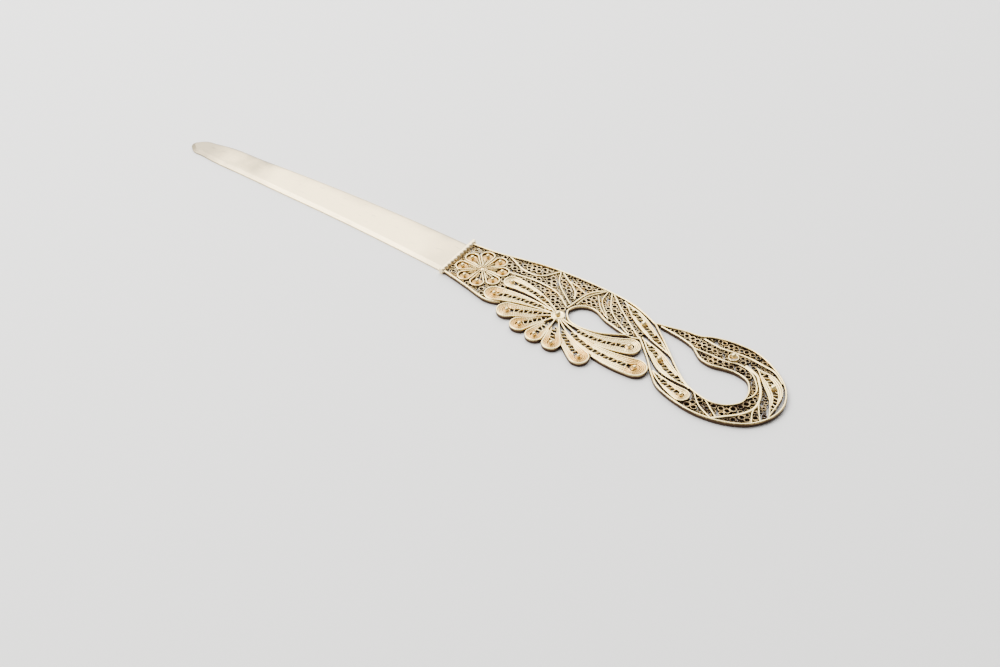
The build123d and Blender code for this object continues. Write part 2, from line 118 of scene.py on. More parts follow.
# Ribs: half the width and the middle line of each wire that parts the panels
rib_lines = {
    "body_ribs": [
        (0.24, [(25.3, 7.9), (24.5, 6.6), (23.3, 4.8), (21.6, 3.5), (19, 3.25), (16.4, 3.7), (14.3, 4.7),
                (11.8, 5.9)]),
        (0.2, [(25.4, 7.9), (27.8, 3.6), (33.9, -1.3)]),
        (0.24, [(38.5, 7.8), (35.5, 4.3), (34.1, -3)]),
        (0.24, [(14.9, 0.6), (22, 1.5), (28.5, 0.8), (33.8, -2.7)]),
        (0.18, [(39.2, 7.8), (39.9, 3.9), (43.4, 0)]),
        (0.2, [(40.3, 7.8), (44, 1.7), (51.6, -3.3)]),
        (0.24, [(40.9, 7.8), (46.7, 2.8), (54.3, -2.9)]),
        (0.24, [(26.2, 7.9), (28.6, 6.2), (30.6, 4.9), (32.6, 3.1), (33.9, 0.7)]),
        (0.16, [(29, 6), (32, 5.4), (35, 4)]),
        (0.16, [(38.9, 7.8), (37.7, 6), (36.5, 4.3), (35.7, 2.3), (35.4, -0.6)]),
        (0.18, [(38, 5.2), (40.4, 2), (42.6, 0.2), (44.4, -0.8)]),
        (0.24, [(51.2, -3.6), (53, -3.55), (54.6, -3)]),
    ],
    "head_ribs": [
        (0.3, [(67.4, 5.6), (72.1, 4.9), (76, 5.25), (79.9, 5.4), (83.4, 4.9), (86.7, 4.3), (90, 1.8)]),
        (0.24, [(67, 1.3), (71.6, 1.4), (75.3, 1.35), (78.2, 2.1), (80.8, 1.8), (83, 0.5), (84.8, -1.5),
                (86.1, -3.6), (86.2, -5.8), (85.3, -7.6)]),
    ],
    "loop_ribs": [
        (0.4, [(80, 2.6), (83.6, 1.1), (85.3, -0.9), (87, -3.4), (88.2, -6.4), (88.4, -9.2), (87.6, -11.3),
               (86.2, -13.3), (84.2, -15.2), (81.5, -17.8)]),
        (0.2, [(88.3, -8), (88.8, -11), (90.2, -14)]),
        (0.2, [(74.2, -11.9), (77.5, -15.4), (82.2, -17.8)]),
        (0.2, [(77.8, -12.9), (80, -14.7), (82.6, -16.7)]),
        (0.2, [(87.9, -5.4), (89.2, -8.6), (91.6, -12.4)]),
    ],
}

# Turned buttons: share of the radius and height, from the middle out, over the rim and back underneath
boss_profile = [(0.02, 1.12), (0.3, 1.1), (0.65, 1.02), (0.74, 0.96), (0.83, 1.0), (0.92, 1.12),
                (1.02, 1.15), (1.1, 1.08), (1.14, 0.95), (1.14, 0.15), (0.02, 0.15)]
heart_profile = [(0.05, 1.1), (0.4, 1.06), (0.75, 0.92), (0.95, 0.7), (1, 0.5), (1, 0.15), (0.05, 0.15)]
ring_profile = [(0.76, 0.9), (0.8, 1.02), (0.88, 1.08), (0.96, 1.02), (1, 0.9), (1, 0.15), (0.76, 0.15)]

# Panels that small scrolls fill: how large the scrolls are, and rough outlines that the strips hide
panels = {
    "body_lattice": (
        1,
        [(1.2, 4.9), (8.2, 5.4), (15.6, 6.8), (22.1, 7.9), (28.5, 8.25), (34, 8.3), (40.5, 7.95),
         (45.9, 7.2), (44.6, 6.7), (49.6, 2.2), (54.4, -1), (54, -2.7), (46, -1.8), (41.3, 0.3),
         (37.2, 0.2), (35, -1.6), (34.2, -5), (26, -3), (17, -2), (17, -11.3), (9.6, -9.95), (1.2, -8.1)],
    ),
    "head_lattice": (
        1,
        [(57, 4.2), (66.2, 5.8), (72.4, 7.9), (80.3, 7.8), (85.1, 5.7), (89.9, 2.1), (86, 2.6), (83, 0.6),
         (86.2, -3.6), (85.4, -7), (84.5, -4.3), (82.5, -1.8), (79.2, -0.9), (73.2, -1.8), (70.2, -1.3),
         (66.2, 1.6), (62.5, 2.75)],
    ),
    "loop_lattice": (
        1.2,
        [(83.5, 1.4), (86.4, -1.2), (90, -5.2), (92.4, -10.8), (89, -15.1), (83.4, -17.5), (77.3, -18.1),
         (74.6, -17.4), (74.2, -12.1), (78.9, -12.95), (82.3, -12.1), (84.7, -9.9), (85.4, -7.4),
         (86.2, -4)],
    ),
}

# Openwork finishes: top colour, where the bright top (polish with a painted highlight, over patina and
# painted shade down the sides) begins and is full, roughness, share of warm tone
openwork = {
    "polished_strip": ("polish", 0.3, 0.95, 0.18, 0.35),
    "twisted_band": ("polish", 0.05, 0.9, 0.18, 0.3),
    "ladder_wire": ("polish", -0.2, 0.8, 0.2, 0.5),
    "fine_filling": ("filling", 0.64, 0.95, 0.22, 0.7),
}

# Joints: the gap that solder fills, and how clear of a feather a wire stays, in shares of half its width
solder_gap = 0.02
clear_share = 0.4

# The least half width of a wire in a feather's band, of one in a leaf's band, and of a ladder
least_band = 0.025
least_leaf_band = 0.06
least_ladder = 0.2

# Leaves: wires in each band, and steps between two points of a side
leaf_lanes = 2
leaf_steps = 14

# Tail strip: share of its width at the end, and steps in which it gains a full width from there
tail_end_share = 0.15
tail_steps = 14

# Petal rims: shares of the width at the root and along it, length in which it gains a full width, free heart
petal_root_share = 0.4
petal_rim_share = 0.85
petal_growth = 6
petal_heart = 0.5

# Wire inside a petal: the slot that it leaves, and half its width
petal_slot = 0.3
petal_wire_half = 0.11

# Heights: foot of the bands, and how far bands, ladders and petal wires lie below the rims
band_foot = 0.1
band_drop = 0.04
ladder_drop = 0.1
petal_wire_drop = 0.2

# Tips: reach of the warm tone in tip radii, share of it where it is full, and dish that wires sink into
tip_reach = 1.25
tip_core = 0.5
tip_dish = 0.3

# Wires that cross: from level to level as a share of half their height, and the number of levels
level_step = 0.01
level_count = 7

# Collar: half width of its bar as a share of the collar, and the number of scallops
bar_share = 0.34
scallop_count = 11

# Coils: levels of their middles, half their height in dome radii, spare turn, dish, dome, warmth and seed
coil_level = 0.62
corner_level = 0.55
coil_half_height = 0.1
coil_slack = 0.3
seat_dish = 0.15
petal_dome = -0.12
seat_warmth = 0.7
coil_seed = 3

# Grains: radius from which a bead is large, and the share of a large bead's and of the eye's that they have
large_bead = 0.8
large_bead_share = 0.75
eye_share = 0.8

# Scrolls: pitch in radii, stray, spread of sizes, least share of a size, the three sizes, lap and height
scroll_pitch = 1.82
scroll_stray = 0.2
scroll_spread = 0.1
scroll_kept = 0.55
scroll_parts = (1, 0.66, 0.45)
scroll_lap = 0.08
scroll_level = 0.52

# Discs that stand for what is laid before the scrolls: how close along a wire, and how many on the collar
disc_spacing = 0.2
collar_discs = 40


def math_operator(operation, turned=False):
    """An operator of Value, which adds a Math node. Where turned, the other value comes first."""
    def method(value, other):
        first, second = (other, value) if turned else (value, other)
        return value.sheet.math(operation, first, second)

    return method


class Value:
    """One output of a node. Arithmetic on it adds Math nodes to its tree."""

    __add__ = math_operator("ADD")
    __radd__ = math_operator("ADD", True)
    __sub__ = math_operator("SUBTRACT")
    __rsub__ = math_operator("SUBTRACT", True)
    __mul__ = math_operator("MULTIPLY")
    __rmul__ = math_operator("MULTIPLY", True)
    __truediv__ = math_operator("DIVIDE")
    __rtruediv__ = math_operator("DIVIDE", True)
    __pow__ = math_operator("POWER")
    __rpow__ = math_operator("POWER", True)

    def __init__(self, sheet, socket):
        self.sheet = sheet
        self.socket = socket


class Sheet:
    """A node tree that is written as calls and expressions."""

    def __init__(self, tree):
        self.tree = tree

    def feed(self, socket, value):
        """Link a value to a socket, or set the socket to a number, colour or vector."""
        if isinstance(value, Value):
            self.tree.links.new(value.socket, socket)
        else:
            socket.default_value = value

    def node(self, kind, settings=None, sockets=None, output=0):
        """Add a node: its settings first, then the values or links of its sockets. Gives one output."""
        made = self.tree.nodes.new(kind)
        for name, value in (settings or {}).items():
            setattr(made, name, value)
        for name, value in (sockets or {}).items():
            self.feed(made.inputs[name], value)
        return Value(self, made.outputs[output])

    def math(self, operation, *values):
        """A Math node."""
        return self.node("ShaderNodeMath", {"operation": operation}, dict(enumerate(values)))

    def between(self, value, low, high):
        """How far a value has come from low to high, eased at both ends."""
        return self.node("ShaderNodeMapRange", {"interpolation_type": "SMOOTHSTEP"},
                         {"Value": value, "From Min": low, "From Max": high})

    def parts(self, vector):
        """The X, Y and Z of a vector."""
        made = self.node("ShaderNodeSeparateXYZ", sockets={0: vector}).socket.node
        return [Value(self, socket) for socket in made.outputs]


class Finish(Sheet):
    """A finish: a material with one Principled shader."""

    def __init__(self, name):
        self.material = bpy.data.materials.new(name)
        self.material.use_nodes = True
        super().__init__(self.material.node_tree)
        self.shader = self.tree.nodes["Principled BSDF"]
        self.colours = bpy.context.scene.silver_colours
        self.place = self.node("ShaderNodeTexCoord", output="Object")
        self.along_x, self.along_y, self.height = self.parts(self.place)

    def sway(self, noise, amount):
        """Noise moved to lie about zero, and scaled."""
        return (noise - 0.5) * amount

    def grain(self, size, detail=3, stretch=(1, 1, 1)):
        """Soft noise from 0 to 1 with features of a given size in millimetres."""
        scaled = self.node("ShaderNodeMapping", sockets={"Vector": self.place, "Scale": stretch})
        return self.node("ShaderNodeTexNoise", sockets={
            "Vector": scaled, "Scale": 1 / (size * mm), "Detail": detail})

    def mixed(self, share, first, second):
        """A colour between two colours."""
        return self.node("ShaderNodeMix", {"data_type": "RGBA"}, {0: share, 6: first, 7: second}, 2)

    def bump(self, height, depth):
        """A surface normal raised by a height, in millimetres of depth."""
        return self.node("ShaderNodeBump", sockets={"Height": height, "Distance": depth * mm})

    def attribute(self, name):
        """A number that the mesh keeps under a name."""
        return self.node("ShaderNodeAttribute", {"attribute_name": name}, output="Fac")

    def set(self, **sockets):
        """Give the shader its sockets."""
        for name, value in sockets.items():
            self.feed(self.shader.inputs[name.replace("_", " ").title()], value)
        return self.material


def length(name, description, size):
    """A length that a user may change, given here in millimetres."""
    return FloatProperty(name=name, description=description, subtype="DISTANCE", unit="LENGTH", precision=5,
                         default=size * mm)


class StockSizes(bpy.types.PropertyGroup):
    """Sizes of the strips and wires."""

    strip_width: length("Strip width", "Width of the frame strips", 0.54)
    rim_width: length("Rim width", "Width of feather and leaf rims", 0.42)
    slot_width: length("Slot width", "Width of the ladder slots", 1.3)
    ladder_wire: length("Ladder wire", "Diameter of ladder wire", 0.24)
    ladder_pitch: length("Ladder pitch", "From rung to rung", 1.15)
    ladder_lean: length("Ladder lean", "Half the slant of a rung", 0.22)
    band_lanes: IntProperty(name="Band wires", description="Wires in the band beside a ladder", default=3)
    twist_pitch: length("Twist pitch", "From turn to turn of band wire", 0.55)
    twist_depth: FloatProperty(name="Twist depth", description="Share of the height that a turn takes",
                               subtype="FACTOR", default=0.07)
    coil_turns: FloatProperty(name="Coil turns", description="Turns of wire in a wound tip", default=6)
    scroll_radius: length("Scroll radius", "Radius of a panel scroll", 0.8)
    scroll_least: length("Smallest scroll", "Least radius of a scroll", 0.33)
    scroll_tuck: length("Scroll tuck", "Reach of scrolls into strips", 0.3)
    scroll_seed: IntProperty(name="Scroll seed", description="Seed of the scrolls' places", default=7)


def stock(name):
    """A length of the stock, in millimetres."""
    return getattr(bpy.context.scene.stock_sizes, name) / mm


def colour(name, description, value):
    """A colour that a user may change."""
    return FloatVectorProperty(name=name, description=description, subtype="COLOR", size=4, default=value)


class SilverColours(bpy.types.PropertyGroup):
    """Colours of the silver and of the stage."""

    polish: colour("Polish", "Rubbed silver on top of strips and bands", (0.98, 0.77, 0.35, 1))
    # Patina and painted shade: the dark colour down the sides of the openwork wires and low near the floor
    patina_and_shade: colour("Tarnish", "Old silver low in the openwork", (0.05, 0.026, 0.013, 1))
    peach: colour("Peach", "Warm tone of the wound tips", (0.68, 0.4, 0.1, 1))
    # Painted shade in the grooves between the turns of the tips
    bloom: colour("Bloom", "Seams between the turns of the tips", (0.3, 0.14, 0.05, 1))
    filling: colour("Filling", "Scrolls of the panels", (0.9, 0.69, 0.34, 1))
    blade: colour("Blade", "Satin blade", (0.95, 0.77, 0.45, 1))
    # Darker tone of the blade towards the point, the back and the root and in scuffs, and of the collar's
    # stains
    blade_dull: colour("Dull blade", "Worn patches of the blade", (0.3, 0.25, 0.17, 1))
    floor: colour("Floor", "Pale floor", (0.86, 0.85, 0.83, 1))


def smooth(points, steps=10):
    """Places on a smooth line through points."""
    line = [Vector(point) for point in points]
    line = [line[0] * 2 - line[1]] + line + [line[-1] * 2 - line[-2]]
    places = []
    for before, start, end, after in zip(line, line[1:], line[2:], line[3:]):
        for step in range(steps):
            t = step / steps
            square = (before * 2 - start * 5 + end * 4 - after) * t ** 2
            cube = (start * 3 - before - end * 3 + after) * t ** 3
            places.append((start * 2 + (end - before) * t + square + cube) * 0.5)
    return places + [line[-2]]


def left_of(ahead):
    """A unit vector to the left of a heading."""
    return Vector((-ahead.y, ahead.x)).normalized()


def headings(places):
    """The heading at each place of a line."""
    ends = range(len(places))
    return [places[min(n + 1, ends[-1])] - places[max(n - 1, 0)] for n in ends]


def beside(places, shift):
    """A line shifted to its left, by one distance or by one for each place."""
    shifts = shift if isinstance(shift, list) else [shift] * len(places)
    return [place + left_of(ahead) * away for place, ahead, away in zip(places, headings(places), shifts)]


def wire(places, half):
    """A wire: its places, and half its width, the same all along or one for each place."""
    return places, half if isinstance(half, list) else [half] * len(places)


def runs(line, hidden, least=4):
    """The stretches of a wire that nothing hides, of at least so many places."""
    found = [([], [])]
    for place, half in zip(*line):
        if hidden(place, half):
            found.append(([], []))
        else:
            found[-1][0].append(place)
            found[-1][1].append(half)
    return [run for run in found if len(run[0]) >= least]


def solids_of(node):
    """The middle and the half size of each solid of a node, in millimetres."""
    shape = bmesh.new()
    shape.from_mesh(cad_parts[node].data)
    bmesh.ops.remove_doubles(shape, verts=shape.verts, dist=mm * mm)
    left = set(shape.verts)
    found = []
    while left:
        edge_of = [left.pop()]
        solid = []
        while edge_of:
            corner = edge_of.pop()
            solid.append(corner.co.copy())
            for edge in corner.link_edges:
                other = edge.other_vert(corner)
                if other in left:
                    left.remove(other)
                    edge_of.append(other)
        low = Vector([min(axis) for axis in zip(*solid)])
        high = Vector([max(axis) for axis in zip(*solid)])
        found.append(((low + high) / (2 * mm), (high - low) / (2 * mm)))
    shape.free()
    return sorted(found, key=lambda solid: tuple(solid[0]))


def top_of(node):
    """How high a node reaches, in millimetres."""
    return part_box(node)[1][2] / mm


class Feather:
    """A feather: a bowed spine from root to dome, that widens evenly to a round tip."""

    steps = 44
    tip_steps = 14
    seat_share = 0.5

    def __init__(self, root, dome, dome_radius, bow=0, throat=0.3):
        self.root = Vector(root)
        self.dome = Vector(dome)
        self.dome_radius = dome_radius
        self.bow = bow
        self.throat = throat
        self.rim = stock("rim_width")
        self.tip = dome_radius + self.rim + solder_gap
        self.seat = dome_radius * self.seat_share
        self.length = (self.dome - self.root).length

    def shares(self, start, end):
        """Shares of the spine, in even steps between two of them."""
        return [start + (end - start) * n / self.steps for n in range(self.steps + 1)]

    def spine(self, start=0, end=1):
        """Places on the spine between two shares of it."""
        chord = self.dome - self.root
        bow = left_of(chord) * (-4 * self.bow)
        return [self.root + chord * s + bow * (s * (1 - s)) for s in self.shares(start, end)]

    def halves(self, start=0, end=1):
        """Half the width at each of those places."""
        return [self.throat + (self.tip - self.throat) * share for share in self.shares(start, end)]

    def loop(self, reach):
        """A line up the left of the spine, round the tip and down the right, at a reach for each place."""
        spine = self.spine()
        start = left_of(headings(spine)[-1])
        turn = []
        for step in range(1, self.tip_steps):
            angle = -math.pi * step / self.tip_steps
            arm = Vector((start.x * math.cos(angle) - start.y * math.sin(angle),
                          start.x * math.sin(angle) + start.y * math.cos(angle)))
            turn.append(self.dome + arm * reach[-1])
        return beside(spine, reach) + turn + beside(spine, [-away for away in reach])[::-1]

    def rim_wire(self):
        """The rim: up one side, round the tip and down the other."""
        return wire(self.loop([half - self.rim / 2 for half in self.halves()]), self.rim / 2)

    def band_wires(self, lanes, slot):
        """Nested wires between the rim and the slot for the ladder, which go round the coil in the tip."""
        inner = []
        for place in self.spine():
            clear = self.seat ** 2 - (place - self.dome).length_squared
            inner.append(max(slot / 2, math.sqrt(max(clear, 0))))
        rooms = [max(half - self.rim - low, 0) / lanes for half, low in zip(self.halves(), inner)]
        sides = [room / 2 for room in rooms]
        widths = sides + sides[-1:] * (self.tip_steps - 1) + sides[::-1]
        found = []
        for lane in range(lanes):
            reach = [low + (lane + 0.5) * room for low, room in zip(inner, rooms)]
            found += runs((self.loop(reach), widths), lambda place, half: half < least_band)
        return found

    def ladder_wire(self, start, slot):
        """The middle line of the ladder, from a distance along the spine to the coil in the tip."""
        ends = (start / self.length, 1 - self.seat / self.length)
        return self.spine(*ends), [min(slot / 2, half - self.rim) for half in self.halves(*ends)]

    def covers(self, place, margin):
        """Whether a place lies under the feather."""
        return any((place - spot).length < half + margin for spot, half in zip(self.spine(), self.halves()))


def laid_feathers():
    """The feathers of the wing and the lower neck leaf by name, in the order that they are laid."""
    boss = solids_of("wing_boss")[0][0].to_2d()
    found = {}
    for name, plan in feathers.items():
        middle, half = solids_of(name + "_dome")[0]
        root = lower_leaf_root if name == "lower_neck_leaf" else boss
        found[name] = Feather(root, middle.to_2d(), half.x, plan.bow)
    return found


def feather_wires():
    """For each feather its rim, bands and ladder, cut back where an earlier feather or the boss lies."""
    slot = stock("slot_width")
    boss, boss_half = solids_of("wing_boss")[0]
    earlier = []
    found = {}
    for name, feather in laid_feathers().items():
        def hidden(place, half, before=tuple(earlier)):
            if (place - boss.to_2d()).length < boss_half.x:
                return True
            return any(other.covers(place, half * clear_share) for other in before)

        bands = []
        for line in feather.band_wires(bpy.context.scene.stock_sizes.band_lanes, slot):
            bands += runs(line, hidden)
        ladders = runs(feather.ladder_wire(feathers[name].ladder_start, slot), hidden)
        found[name] = (runs(feather.rim_wire(), hidden), bands, ladders)
        earlier.append(feather)
    return found


def petal_wires():
    """The rims of the petals, which are feathers with no throat, and a wire inside each."""
    centre = solids_of("rosette_centre")[0][0].to_2d()
    rims = []
    inner = []
    for middle, half in solids_of("petal_domes"):
        petal = Feather(centre, middle.to_2d(), half.x, throat=0)
        places, halves = petal.rim_wire()
        near = [min(1, petal_root_share + (place - centre).length / petal_growth) for place in places]
        line = (places, [half * share * petal_rim_share for half, share in zip(halves, near)])
        rims += runs(line, lambda place, half: (place - centre).length < petal_heart)
        for places, halves in petal.band_wires(1, petal_slot):
            inner += runs(wire(places, petal_wire_half),
                          lambda place, half: (place - petal.dome).length < petal.dome_radius)
    return rims, inner


def leaf_wires():
    """For each leaf its rims, its bands, its middle line and half its width along that."""
    rim = stock("rim_width")
    slot_half = stock("slot_width") / 2
    found = {}
    for name, sides in leaf_sides.items():
        left, right = [smooth(side, leaf_steps) for side in sides]
        middle = [(a + b) / 2 for a, b in zip(left, right)]
        halves = [(a - b).length / 2 for a, b in zip(left, right)]
        room = [max(half - rim - slot_half, 0) / leaf_lanes for half in halves]
        rims = []
        bands = []
        for side in (left, right):
            out = [(place - core).normalized() for place, core in zip(side, middle)]
            rims.append(wire([place - away * min(rim / 2, half)
                              for place, away, half in zip(side, out, halves)], rim / 2))
            for lane in range(leaf_lanes):
                places = [core + away * (slot_half + (lane + 0.5) * wide)
                          for core, away, wide in zip(middle, out, room)]
                bands += runs(wire(places, [wide / 2 for wide in room]),
                              lambda place, half: half < least_leaf_band)
        found[name] = (rims, bands, middle, halves)
    return found


def ladder_lines():
    """The middle lines of the ladders by node. Those of the leaves stay clear of the bead seats."""
    in_feathers = feather_wires()
    lower_leaf = in_feathers.pop("lower_neck_leaf")
    seats = solids_of("leaf_bead_seats")

    def hidden(place, half):
        if half < least_ladder:
            return True
        return any((place - seat.to_2d()).length < reach.x for seat, reach in seats)

    in_leaves = []
    for rims, bands, middle, halves in leaf_wires().values():
        reach = [min(stock("slot_width") / 2, half - stock("rim_width")) for half in halves]
        in_leaves += runs((middle, reach), hidden)
    return {
        "feather_ladders": sum([ladders for rims, bands, ladders in in_feathers.values()], []),
        "leaf_ladders": in_leaves + lower_leaf[2],
    }


def frame_wires():
    """The frame strips by node."""
    half = stock("strip_width") / 2
    tip = Vector(window_line[0]) + Vector(window_point)
    tail = smooth(tail_line)
    shares = [min(1, tail_end_share + n / tail_steps) for n in reversed(range(len(tail)))]
    return {
        "back_frame": [wire(smooth(back_line), half)],
        "tail_frame": [(tail, [half * share for share in shares])],
        "loop_outer_frame": [wire(smooth(loop_outer_line), half)],
        "loop_inner_frame": [wire(smooth(loop_inner_line), half)],
        "window_frame": [wire([tip] + beside(smooth(window_line), half)[1:-1] + [tip], half)],
    }


def rib_wires(name):
    """The wires of a node of ribs."""
    return [wire(smooth(line), half) for half, line in rib_lines[name]]


def taken_discs():
    """Discs that cover all that is laid before the scrolls: place and radius."""
    lines = sum(frame_wires().values(), [])
    for rims, bands, ladders in feather_wires().values():
        lines += rims + bands + ladders
    lines += sum(petal_wires(), [])
    for rims, bands, middle, halves in leaf_wires().values():
        lines += rims + bands + [wire(middle, halves)]
    for name in rib_lines:
        lines += rib_wires(name)
    discs = []
    for places, halves in lines:
        for start, end, half in zip(places, places[1:], halves):
            count = max(1, math.ceil((end - start).length / disc_spacing))
            discs += [(start.lerp(end, n / count), half) for n in range(count)]
    buttons = ["wing_boss", "petal_domes", "rosette_centre", "leaf_bead_seats", "eye_dome",
               "tail_corner_coils"]
    for node in buttons + [name + "_dome" for name in feathers]:
        discs += [(middle.to_2d(), half.x) for middle, half in solids_of(node)]
    low, high = [Vector(corner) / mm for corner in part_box("collar")]
    reach = (high.x - low.x) / 2
    for step in range(collar_discs):
        discs.append((Vector((reach, low.y + (high.y - low.y) * step / (collar_discs - 1))), reach))
    return discs


def inside(place, outline):
    """Whether a place lies inside an outline."""
    found = False
    for (x1, y1), (x2, y2) in zip(outline, outline[1:] + outline[:1]):
        if (y1 > place.y) != (y2 > place.y):
            if place.x < x1 + (place.y - y1) * (x2 - x1) / (y2 - y1):
                found = not found
    return found


def scroll_places(outline, discs, radius):
    """Places, radii and turns of scrolls in rows that fill an outline, between what is laid already."""
    widest = max(reach for place, reach in discs)
    tree = KDTree(len(discs))
    for number, (place, reach) in enumerate(discs):
        tree.insert(place.to_3d(), number)
    tree.balance()
    draw = random.Random(bpy.context.scene.stock_sizes.scroll_seed)
    tuck = stock("scroll_tuck")
    least = max(radius * scroll_kept, stock("scroll_least"))
    pitch = radius * scroll_pitch
    rise = pitch * math.sqrt(0.75)
    low_x, low_y = [min(axis) for axis in zip(*outline)]
    high_x, high_y = [max(axis) for axis in zip(*outline)]
    chosen = []
    for row in range(math.ceil((high_y - low_y) / rise) + 1):
        for column in range(math.ceil((high_x - low_x) / pitch) + 1):
            shift = Vector([draw.uniform(-scroll_stray, scroll_stray) for axis in range(2)])
            size = radius * draw.uniform(1 - scroll_spread, 1 + scroll_spread)
            turn = draw.uniform(0, full_turn)
            place = Vector((low_x + (column + row % 2 / 2) * pitch, low_y + row * rise)) + shift
            if not inside(place, outline):
                continue
            for spot, number, distance in tree.find_range(place.to_3d(), widest + size):
                size = min(size, distance - discs[number][1] + tuck)
            if size > least:
                chosen.append((place, size, turn))
    return chosen


# Inputs of every tree that lays a section along curves
section_inputs = {"Half height": "Float", "Middle height": "Float", "Corners": "Int", "Squareness": "Float",
                  "Twist pitch": "Float", "Twist depth": "Float"}


class Growth(Sheet):
    """A geometry tree with named inputs."""

    def __init__(self, name, inputs):
        super().__init__(bpy.data.node_groups.new(name, "GeometryNodeTree"))
        for way in ("INPUT", "OUTPUT"):
            self.tree.interface.new_socket("Geometry", in_out=way, socket_type="NodeSocketGeometry")
        for label, kind in inputs.items():
            self.tree.interface.new_socket(label, in_out="INPUT", socket_type="NodeSocket" + kind)
        source = self.tree.nodes.new("NodeGroupInput")
        self.taken = {socket.name: Value(self, socket) for socket in source.outputs if socket.name}

    def store(self, geometry, name, value, kind="FLOAT"):
        """Keep a value on each point under a name."""
        return self.node("GeometryNodeStoreNamedAttribute", {"data_type": kind, "domain": "POINT"},
                         {"Geometry": geometry, "Name": name, "Value": value})

    def kept(self, name, kind="FLOAT"):
        """A value that was kept under a name."""
        return self.node("GeometryNodeInputNamedAttribute", {"data_type": kind}, {"Name": name})

    def vector(self, operation, *values, output=0):
        """A Vector Math node."""
        return self.node("ShaderNodeVectorMath", {"operation": operation}, dict(enumerate(values)), output)

    def scaled(self, vector, share):
        """A vector times a number."""
        return self.node("ShaderNodeVectorMath", {"operation": "SCALE"}, {0: vector, "Scale": share})

    def up(self, height):
        """A vector that points straight up."""
        return self.node("ShaderNodeCombineXYZ", sockets={"Z": height})

    def side_of(self, ahead):
        """A unit vector to the left of a heading."""
        return self.vector("NORMALIZE", self.vector("CROSS_PRODUCT", (0, 0, 1), ahead))

    def squared(self, value):
        """A share from -1 to 1 pushed towards its ends, so that a round section becomes a soft square."""
        return self.math("ABSOLUTE", value) ** self.taken["Squareness"] * self.math("SIGN", value)

    def moved(self, geometry, offset):
        """Geometry with each point moved by an offset."""
        return self.node("GeometryNodeSetPosition", sockets={"Geometry": geometry, "Offset": offset})

    def lines(self):
        """The lines that the tree is given, as curves in even steps."""
        curve = self.node("GeometryNodeMeshToCurve", sockets={"Mesh": self.taken["Geometry"]})
        return self.node("GeometryNodeResampleCurve", {"mode": "LENGTH"},
                         {"Curve": curve, "Length": self.taken["Step"]})

    def swept(self, curve):
        """A section along a curve, by the tree for that, with this tree's own inputs handed on."""
        sockets = {label: self.taken[label] for label in section_inputs}
        return self.node("GeometryNodeGroup", {"node_tree": the_tree("Section along curves")},
                         {"Geometry": curve, **sockets})

    def on_points(self, shape, **more):
        """A shape on each point that the tree is given, at the size of that point."""
        return self.node("GeometryNodeInstanceOnPoints", sockets={
            "Points": self.taken["Geometry"], "Instance": shape, "Scale": self.kept("size"), **more})

    def end(self, geometry):
        """End the tree with a shape as it is."""
        self.tree.links.new(geometry.socket, self.tree.nodes.new("NodeGroupOutput").inputs[0])

    def finish(self, geometry):
        """End the tree: realize what is instanced, and give it its finish."""
        geometry = self.node("GeometryNodeRealizeInstances", sockets={"Geometry": geometry})
        geometry = self.node("GeometryNodeSetShadeSmooth", sockets={"Geometry": geometry})
        self.end(self.node("GeometryNodeSetMaterial", sockets={
            "Geometry": geometry, "Material": self.taken["Finish"]}))


def sweep_tree(name, twist_slant=2.2, profile_scale=1e-6):
    """A section of given corners and squareness laid along curves, as wide as each point says."""
    made = Growth(name, section_inputs)
    side = made.side_of(made.node("GeometryNodeInputTangent"))
    curve = made.store(made.taken["Geometry"], "side", side, "FLOAT_VECTOR")
    curve = made.store(curve, "along", made.node("GeometryNodeSplineParameter", output="Length"))
    ring = made.node("GeometryNodeCurvePrimitiveCircle", {"mode": "RADIUS"},
                     {"Resolution": made.taken["Corners"], "Radius": 1})
    ring = made.node("GeometryNodeTransform", sockets={
        "Geometry": ring, "Rotation": made.up(math.pi / made.taken["Corners"])})
    spot = made.parts(made.node("GeometryNodeInputPosition"))
    ring = made.store(ring, "across", made.squared(spot[0]))
    ring = made.store(ring, "rise", made.squared(spot[1]))
    ring = made.node("GeometryNodeTransform", sockets={"Geometry": ring, "Scale": [profile_scale] * 3})
    shape = made.node("GeometryNodeCurveToMesh", sockets={
        "Curve": curve, "Profile Curve": ring, "Fill Caps": True})
    across = made.kept("across")
    out = made.scaled(made.kept("side", "FLOAT_VECTOR"), across * made.kept("half_width"))
    turn = made.kept("along") * full_turn / made.taken["Twist pitch"] + across * twist_slant
    ridge = 1 - made.kept("sunk") - made.taken["Twist depth"] * (1 + made.math("SINE", turn))
    lift = made.kept("rise") * made.taken["Half height"] * ridge + made.taken["Middle height"]
    made.end(made.moved(shape, made.vector("ADD", out, made.up(lift))))


def wire_tree(name):
    """Wires along lines of points."""
    made = Growth(name, {**section_inputs, "Step": "Float", "Finish": "Material"})
    made.finish(made.swept(made.lines()))


def ladder_tree(name, swing_push=2.4):
    """Ladders: a wire that crosses to and fro along each line, with its rungs slanted one way."""
    made = Growth(name, {**section_inputs, "Step": "Float", "Finish": "Material", "Pitch": "Float",
                         "Lean": "Float", "Half wire": "Float"})
    along = made.node("GeometryNodeSplineParameter", output="Length")
    swing = made.math("SINE", along * math.pi / made.taken["Pitch"]) * swing_push
    swing = made.node("ShaderNodeClamp", sockets={"Value": swing, "Min": -1, "Max": 1})
    tangent = made.node("GeometryNodeInputTangent")
    away = made.scaled(made.side_of(tangent), swing * made.kept("half_width"))
    ahead = made.scaled(tangent, swing * made.taken["Lean"])
    curve = made.moved(made.lines(), made.vector("ADD", away, ahead))
    made.finish(made.swept(made.store(curve, "half_width", made.taken["Half wire"])))


